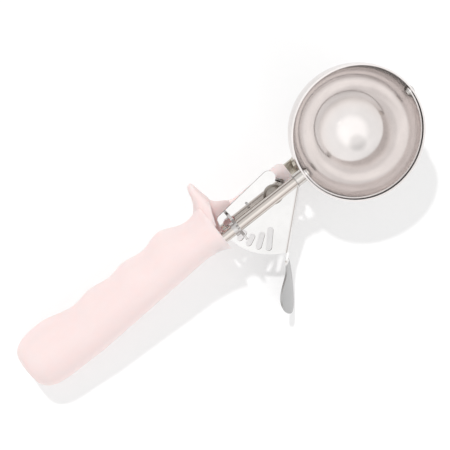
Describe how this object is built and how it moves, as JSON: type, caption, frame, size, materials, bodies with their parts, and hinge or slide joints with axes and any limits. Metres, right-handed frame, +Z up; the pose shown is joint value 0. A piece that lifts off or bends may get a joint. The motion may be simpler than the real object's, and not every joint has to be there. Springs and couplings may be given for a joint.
{
  "type": "lever ice cream scoop",
  "caption": "Ice cream scoop: a spring-loaded thumb lever with a slotted sector turns a shaft whose blade sweeps the bowl clean; grip with finger grooves.",
  "frame": {"origin": "centre of the bowl's rim, on the rim's plane; the scoop lies on a level surface on the bowl's bottom, the butt of the grip and the lower edge of the thumb leaf", "axes": "+Z up, square to the surface it lies on; +X level, from the grip to the bowl over the shaft's axis; +Y level, to the finger side"},
  "size_m": [0.2388, 0.0883, 0.0481],
  "materials": {
    "handle_plastic": "smooth satin, pale pink",
    "bowl_steel": "polished",
    "blade_steel": "polished",
    "tube_steel": "polished",
    "shaft_steel": "polished",
    "lever_steel": "polished",
    "gear_steel": "satin",
    "bracket_steel": "satin",
    "rivet_steel": "polished",
    "spring_steel": "bright drawn wire",
    "bush_brass": "satin"
  },
  "bodies": {
    "frame": {"handle": "handle_plastic", "shaft_bush": "bush_brass", "bowl": "bowl_steel", "bowl_collar": "tube_steel", "collar_bush": "bush_brass", "bowl_bracket": "bracket_steel", "bracket_rivets": "rivet_steel", "far_pivot_pin": "rivet_steel", "far_washer": "rivet_steel", "thrust_washer": "rivet_steel", "pivot_rivet": "rivet_steel", "pivot_washer": "rivet_steel", "pivot_spool": "rivet_steel", "pivot_backing_washer": "rivet_steel", "spring_post": "rivet_steel", "stop_pin": "rivet_steel"},
    "drive": {"drive_shaft": "shaft_steel", "pinion": "gear_steel", "scraper_blade": "blade_steel", "near_washer": "rivet_steel"},
    "lever": {"thumb_lever": "lever_steel", "return_spring": "spring_steel"}
  },
  "joints": [
    {"name": "thumb_press", "type": "hinge", "parent": "frame", "child": "lever", "pos_m": [-0.05093, 0.00249, -0.01475], "axis": [0.1013, 0.2578, -0.9609], "range_deg": [0, 42], "stiffness_Nm_per_rad": 0.27, "springref_deg": -31.51, "deforming": ["return_spring"]},
    {"name": "shaft_turn", "type": "hinge", "parent": "frame", "child": "drive", "pos_m": [0.00036, 0.0009, -0.00336], "axis": [0.9945, 0, 0.1049], "range_deg": [0, 168]}
  ],
  "couplings": [
    {"joint": "shaft_turn", "follows": "thumb_press", "ratio": 4}
  ]
}
